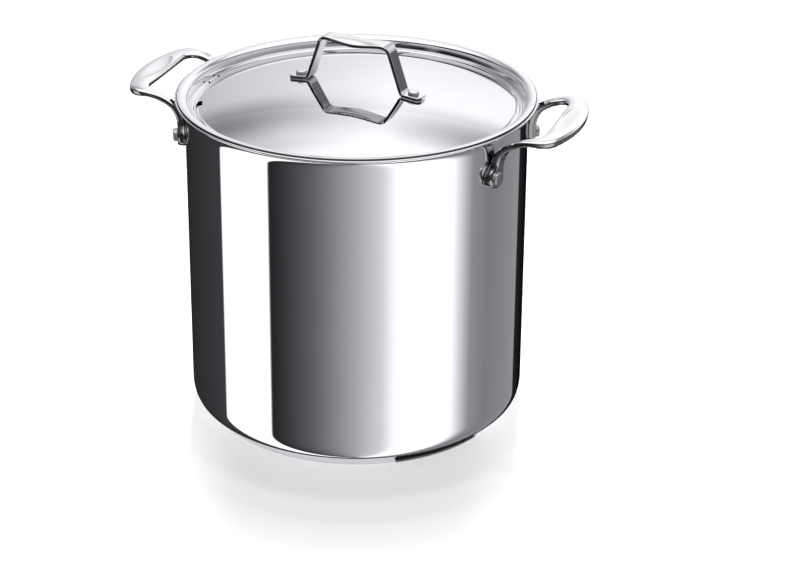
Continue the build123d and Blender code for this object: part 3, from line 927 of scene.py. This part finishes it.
def plan_ring(inner, outer):
    """One section of the neck or grip between two points of the plan's inner and outer edges."""
    a, b = Vector(inner), Vector(outer)
    half = (b - a).length / 2
    points = []
    for across, up in section(half, neck_thickness / 2, edge_radius, flat_steps=44):
        p = a.lerp(b, 0.5 + across / half / 2)
        radius = p.length
        z, slope = on_side(radius)
        height = 2 * up / neck_thickness
        edge = smooth((radius - 168 * MM) / (16 * MM))
        deeper = mix(1, 2 * grip_edge_thickness / neck_thickness - 1, edge)
        lift = up * (side_thickness(radius) / neck_thickness if up > 0 else deeper)
        crown = grip_crown * (across / half) ** 2 * smooth(height) * smooth((radius - neck_end) / (12 * MM))
        dip = scoop(p.x, p.y) * smooth((height - 0.4) / 0.6)
        r = radius - lift * math.sin(slope)
        points.append(Vector((*(p * r / radius), z + lift * math.cos(slope) - crown - dip)))
    return points


def half_plan():
    """Matched points of the plan's inner and outer edges, from the neck to the middle of the grip."""
    arc_centre_x = handle_outer_x - grip_arc_radius
    outer_reach = grip_arc_radius - outer_corner_radius
    corner_y = handle_half_width - outer_corner_radius
    corner_x = arc_centre_x + math.sqrt(outer_reach**2 - corner_y**2)
    meet = math.degrees(math.asin(corner_y / outer_reach))
    bend = (handle_inner_x - inner_corner_radius, handle_inner_half_width - inner_corner_radius)
    inner_start = math.sqrt(neck_end**2 - handle_inner_half_width**2)
    outer_start = math.sqrt(neck_end**2 - (handle_half_width - neck_waist) ** 2)
    neck_steps, corner_steps, grip_steps = 14, 30, 60
    inner = (
        line((inner_start, handle_inner_half_width), (bend[0], handle_inner_half_width), neck_steps)
        + arc(bend, inner_corner_radius, 90, 0, corner_steps)[1:]
        + line((handle_inner_x, bend[1]), (handle_inner_x, 0), grip_steps)[1:]
    )
    waisted = [
        (x, handle_half_width - neck_waist * (1 - smooth(step / neck_steps)))
        for step, (x, _) in enumerate(line((outer_start, 0), (corner_x, 0), neck_steps))
    ]
    outer = (
        waisted
        + arc((corner_x, corner_y), outer_corner_radius, 90, meet, corner_steps)[1:]
        + arc((arc_centre_x, 0), grip_arc_radius, meet, 0, grip_steps)[1:]
    )
    return list(zip(inner, outer))


def make_side_handle():
    """A cast loop: two feet against the wall, two necks that sweep out, and a broad grip with a scoop."""
    foot_rings = [foot_ring(i) for i, (r, _) in enumerate(side_path) if r < neck_end - 0.5 * MM]
    half = foot_rings + [plan_ring(inner, outer) for inner, outer in half_plan()]
    mirror = Matrix.Diagonal((1, -1, 1))
    other = [[mirror @ p for p in ring] for ring in half[:-1]]
    return lofted(half + other[::-1])


# Radius and height of the head, radius of the shank, radius and height of the inner head
SIDE_RIVET = (5.3 * MM, 3.8 * MM, 3 * MM, 5.6 * MM, 1.9 * MM)
LID_RIVET = (4.6 * MM, 2.7 * MM, 2.5 * MM, 4.6 * MM, 1.4 * MM)


def make_rivet(length, head_radius, head_height, shank_radius, inner_radius, inner_height):
    """A rivet along Z: its domed head stands on z 0, and its shank and flat inner head are below."""
    flat, crown, side = 0.72 * head_radius, 0.96 * head_height, 0.55 * head_height
    bottom = -length - inner_height
    return turned(chain(
        curve((0, head_height), (0.4 * head_radius, head_height), (flat, crown), 8),
        curve((flat, crown), (head_radius, 0.9 * head_height), (head_radius, side), 8),
        line((head_radius, side), (head_radius, 0), 2),
        line((head_radius, 0), (shank_radius, 0), 2),
        line((shank_radius, 0), (shank_radius, -length), 2),
        line((shank_radius, -length), (inner_radius, -length), 2),
        curve((inner_radius, -length), (inner_radius, bottom), (0, bottom), 10),
    ), full_turn(48))


def seated(rivet, seat, outwards):
    """A rivet moved to its seat, with its head outwards."""
    turn = outwards.to_track_quat("Z", "Y").to_matrix().to_4x4()
    return moved(rivet, Matrix.Translation(seat) @ turn)


def side_rivets(centre_azimuth):
    """The two rivets through the feet of a side handle."""
    rivets = []
    for side in (-1, 1):
        azimuth = math.radians(centre_azimuth + side * rivet_half_angle)
        outwards = Vector(polar(1, azimuth))
        seat = outwards * (body_radius + foot_thickness) + Vector((0, 0, rivet_z + side_rivet_lift))
        rivets.append(seated(make_rivet(foot_thickness + wall, *SIDE_RIVET), seat, outwards))
    return joined(*rivets)


for side, azimuth in (("right", 0), ("left", 180)):
    node_name = f"side_handle_{side}"
    handle = moved(make_side_handle(), Matrix.Rotation(math.radians(azimuth), 4, "Z"))
    piece(f"{side}_handle", handle, handle_steel, "pot", [node_name], sharp=60)
    rivets = side_rivets(azimuth)
    piece(f"{side}_handle_rivets", rivets, rivet_steel, "pot", [node_name + "_rivets"])


# -------- lid

VENT_AZIMUTH = 202.4
VENT_HALF_ANGLE = 2.3
VENT_RADII = (125.6 * MM, 130.7 * MM)
BRIDGE_AZIMUTHS = (171.0, 178.2)
SLOT_HALF_ANGLE = 0.5
SLOT_RADII = ((131.4 * MM, 133.0 * MM), (134.9 * MM, 136.1 * MM))


def make_lid_shell():
    """One pressed sheet: a shallow dome, a raised bead, a sunk rebate and a flange that rests on the lip."""
    dome_centre = (0, dome_top_z - dome_radius)
    dome_half = math.degrees(math.asin(plate_radius / dome_radius))
    fold = 0.8 * MM
    bead_start = (bead_radius - bead_half_width, channel_z)
    bead_top = (bead_radius, channel_z + bead_height)
    bead_end = (bead_radius + bead_half_width, channel_z)
    bead_bulge = bead_half_width * 0.62
    wall_foot = (rebate_radius, channel_z + 1.6 * MM)
    wall_top = (rebate_radius + 0.9 * MM, flange_top_z - 4.2 * MM)
    flange_start = (rebate_radius + 7.4 * MM, flange_top_z)
    flange_end = (flange_radius - 0.9 * MM, flange_top_z)
    roll_end = (flange_radius - 0.29 * MM, lip_top_z + 0.95 * MM)
    upper = chain(
        arc(dome_centre, dome_radius, 90, 90 - dome_half * 0.985, 90),
        curve((plate_radius - fold, channel_z + 0.22 * MM), (plate_radius, channel_z), bead_start, 4),
        curve(bead_start, (bead_radius - bead_bulge, bead_top[1]), bead_top, 8),
        curve(bead_top, (bead_radius + bead_bulge, bead_top[1]), bead_end, 8),
        curve(bead_end, (rebate_radius, channel_z), wall_foot, 8),
        line(wall_foot, wall_top, 4),
        curve(wall_top, (rebate_radius + 1.5 * MM, flange_top_z - 0.3 * MM), flange_start, 16),
        line(flange_start, flange_end, 3),
        curve(flange_end, (flange_radius - 0.36 * MM, flange_top_z), roll_end, 8),
    )

    def point_at(radius):
        return min(range(len(upper)), key=lambda k: abs(upper[k][0] - radius))

    for radius in (*VENT_RADII, *SLOT_RADII[0], *SLOT_RADII[1]):
        nearest = point_at(radius)
        upper[nearest] = (radius, dome_z(radius) if radius < plate_radius - fold else upper[nearest][1])
    lower = []
    for (r_upper, _), (r, z) in zip(upper, beside(upper, lid_sheet)):
        if r_upper > rebate_radius + 4 * MM:
            r, z = r_upper, max(z, lip_top_z)
        lower.append((r, z))
    lower[0] = (0, lower[0][1])
    profile = upper + [(flange_radius, lip_top_z + 0.02 * MM)] + lower[::-1]

    cuts = [(VENT_AZIMUTH, VENT_HALF_ANGLE, *VENT_RADII)]
    for azimuth in BRIDGE_AZIMUTHS:
        cuts += [(azimuth, SLOT_HALF_ANGLE, *radii) for radii in SLOT_RADII]
    edges = sorted({round(azimuth + s * half, 4) for azimuth, half, _, _ in cuts for s in (-1, 1)})
    even = full_turn(ROUND_STEPS)
    azimuths = sorted([a for a in even if all(abs(a - e) > 0.25 for e in edges)] + edges)
    windows = [
        (azimuth - half, azimuth + half, point_at(low), point_at(high)) for azimuth, half, low, high in cuts
    ]
    return turned(profile, azimuths, windows)


def make_lid_handle():
    """A flat strap bent into two feet, two leaning legs and a grip whose long edges roll down."""
    top = lid_handle_top_z - strap / 2
    half_way = [(s, dome_z(s) + strap / 2) for s in (lid_foot_end, lid_leg_foot)] + [(lid_leg_top, top)]
    bends = [(-s, z) for s, z in half_way] + half_way[::-1]
    foot_bend, top_bend = 4.5 * MM, 8 * MM
    path = divided(rounded(bends, [foot_bend, top_bend, top_bend, foot_bend]), 0.8 * MM)
    tip = 4.6 * MM
    rings = []
    for index, (s, z) in enumerate(path):
        before, after = path[max(index - 1, 0)], path[min(index + 1, len(path) - 1)]
        slope = math.atan2(after[1] - before[1], after[0] - before[0])
        on_grip = smooth(1 - abs(s) / (lid_leg_top - 2 * MM)) if z > top - 3 * MM else 0
        past_grip = smooth((abs(s) - lid_leg_top + 2 * MM) / (4 * MM))
        on_leg = past_grip * smooth((lid_leg_foot + 3 * MM - abs(s)) / (4 * MM))
        half = mix(strap_width, grip_width, on_grip) / 2 - leg_waist * on_leg
        from_end = lid_foot_end - abs(s)
        if from_end < tip:
            half -= tip * (1 - math.sqrt(max(0, 1 - (1 - from_end / tip) ** 2))) * 0.8
        ring = []
        for across, up in section(half, strap / 2, 0.7 * MM, flat_steps=20):
            roll = grip_roll * on_grip * (across / half) ** 2
            ring.append(Vector((s - up * math.sin(slope), across, z + up * math.cos(slope) - roll)))
        rings.append(ring)
    return moved(lofted(rings), Matrix.Rotation(math.radians(lid_handle_azimuth), 4, "Z"))


def lid_rivets():
    """The two rivets through the feet of the lid handle, square to the dome."""
    rivets = []
    azimuth = math.radians(lid_handle_azimuth)
    above_centre = math.sqrt(dome_radius**2 - lid_rivet_offset**2)
    for side in (-1, 1):
        seat = Vector(polar(side * lid_rivet_offset, azimuth, dome_z(lid_rivet_offset) + strap))
        outwards = Vector((seat.x, seat.y, above_centre)).normalized()
        rivets.append(seated(make_rivet(strap + lid_sheet, *LID_RIVET), seat, outwards))
    return joined(*rivets)


piece("lid", make_lid_shell(), lid_steel, "lid", ["lid_shell"])
piece("lid_grip", make_lid_handle(), strap_steel, "lid", ["lid_handle"], sharp=60)
piece("lid_grip_rivets", lid_rivets(), rivet_steel, "lid", ["lid_handle_rivets"])


# -------- jar rack

rack_wire = 5 * MM
ring_radii = {name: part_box(f"rack_{name}_ring")[1].x - rack_wire / 2 for name in ("outer", "middle", "inner")}
ring_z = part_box("rack_outer_ring")[1].z - rack_wire / 2
spoke_z = ring_z - rack_wire
rack_floor_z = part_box("rack_feet")[0].z
spoke_azimuths = [math.radians(turn) for turn in full_turn(6)]
spoke_overrun = 2.5 * MM
foot_wire = 6 * MM
bail_wire = 4 * MM
bail_height = 200 * MM
bail_lean = 3
eye_radius = 4.6 * MM
eye_bore = 2.3 * MM
eye_half_length = 2.5 * MM
eye_chamfer = 0.3 * MM
eye_z = ring_z + rack_wire / 2 + eye_radius
eye_y = {"left": 48 * MM, "right": 42 * MM}


def weld(place, width, height):
    """A small flattened bead of weld metal."""
    profile = [(0, height)] + [
        (width * math.cos(math.radians(a)), height * math.sin(math.radians(a))) for a in range(75, -76, -15)
    ] + [(0, -height)]
    bead = turned(profile, full_turn(20))
    return moved(bead, Matrix.Translation(place))


def make_ring(radius):
    """A closed wire ring with the small upset bead of its butt weld."""
    turns = [2 * math.pi * step / 160 for step in range(160)]
    ring = wire([polar(radius, turn, ring_z) for turn in turns], rack_wire / 2, closed=True)
    joint = polar(radius, math.radians(15), ring_z)
    return joined(ring, weld(joint, width=2.9 * MM, height=2.75 * MM))


def make_spokes():
    """Six radial wires under the rings, with weld metal where they cross."""
    parts = []
    start, end = ring_radii["inner"] - spoke_overrun, ring_radii["outer"] + spoke_overrun
    for azimuth in spoke_azimuths:
        path = [polar(radius, azimuth, spoke_z) for radius in (start, (start + end) / 2, end)]
        parts.append(wire(path, rack_wire / 2))
        for radius in ring_radii.values():
            crossing = polar(radius, azimuth, (spoke_z + ring_z) / 2)
            parts.append(weld(crossing, width=2.8 * MM, height=1.5 * MM))
    return joined(*parts)


def make_rack_feet():
    """Short posts with rounded ends that hold the rack off the pot's floor."""
    parts = []
    near, far = 58 * MM, 112 * MM
    top = spoke_z - rack_wire / 2 + 1.2 * MM
    heights = (rack_floor_z, (rack_floor_z + top) / 2, top)
    for index, azimuth in enumerate(spoke_azimuths):
        for place in ((near, far) if index % 2 == 0 else (far,)):
            parts.append(wire([polar(place, azimuth, z) for z in heights], foot_wire / 2))
    return joined(*parts)


def eye_x(side):
    return math.sqrt(ring_radii["outer"] ** 2 - eye_y[side] ** 2)


def make_hinge_eyes():
    """Short tubes welded on the outer ring that hold the rack handles' turned-out ends."""
    parts = []
    face_radius, side_end = eye_radius - eye_chamfer, eye_half_length - eye_chamfer
    profile = chain(
        line((eye_bore, -eye_half_length), (face_radius, -eye_half_length)),
        line((eye_radius, -side_end), (eye_radius, side_end), 3),
        line((face_radius, eye_half_length), (eye_bore, eye_half_length)),
    )
    for side, direction in (("left", -1), ("right", 1)):
        for end in (-1, 1):
            eye = turned(profile, full_turn(40))
            eye = moved(eye, Matrix.Rotation(math.pi / 2, 4, "X"))
            parts.append(moved(eye, Matrix.Translation((direction * eye_x(side), end * eye_y[side], eye_z))))
    return joined(*parts)


def make_bail(side, direction):
    """A wire handle: a tall loop whose ends turn out through the hinge eyes, leaning out to the wall."""
    leg, pin = eye_y[side] - 8 * MM, eye_y[side] + 6 * MM
    path = rounded(
        [(-pin, 0), (-leg, 0), (-leg, bail_height), (leg, bail_height), (leg, 0), (pin, 0)],
        [5 * MM, 24 * MM, 24 * MM, 5 * MM], 14,
    )
    lean = math.radians(direction * bail_lean)
    points = []
    for y, up in divided(path, 6 * MM):
        points.append((direction * eye_x(side) + up * math.sin(lean), y, eye_z + up * math.cos(lean)))
    return wire(points, bail_wire / 2)


rack_parts = {f"{name}_ring": make_ring(radius) for name, radius in ring_radii.items()}
rack_parts |= {"spokes": make_spokes(), "feet": make_rack_feet(), "hinge_eyes": make_hinge_eyes()}
for name, solid in rack_parts.items():
    piece(name, solid, rack_steel, "rack", [f"rack_{name}"])
for side, direction in (("left", -1), ("right", 1)):
    bail = make_bail(side, direction)
    piece(f"{side}_rack_bail", bail, rack_steel, f"{side}_rack_handle", [f"rack_handle_{side}"])
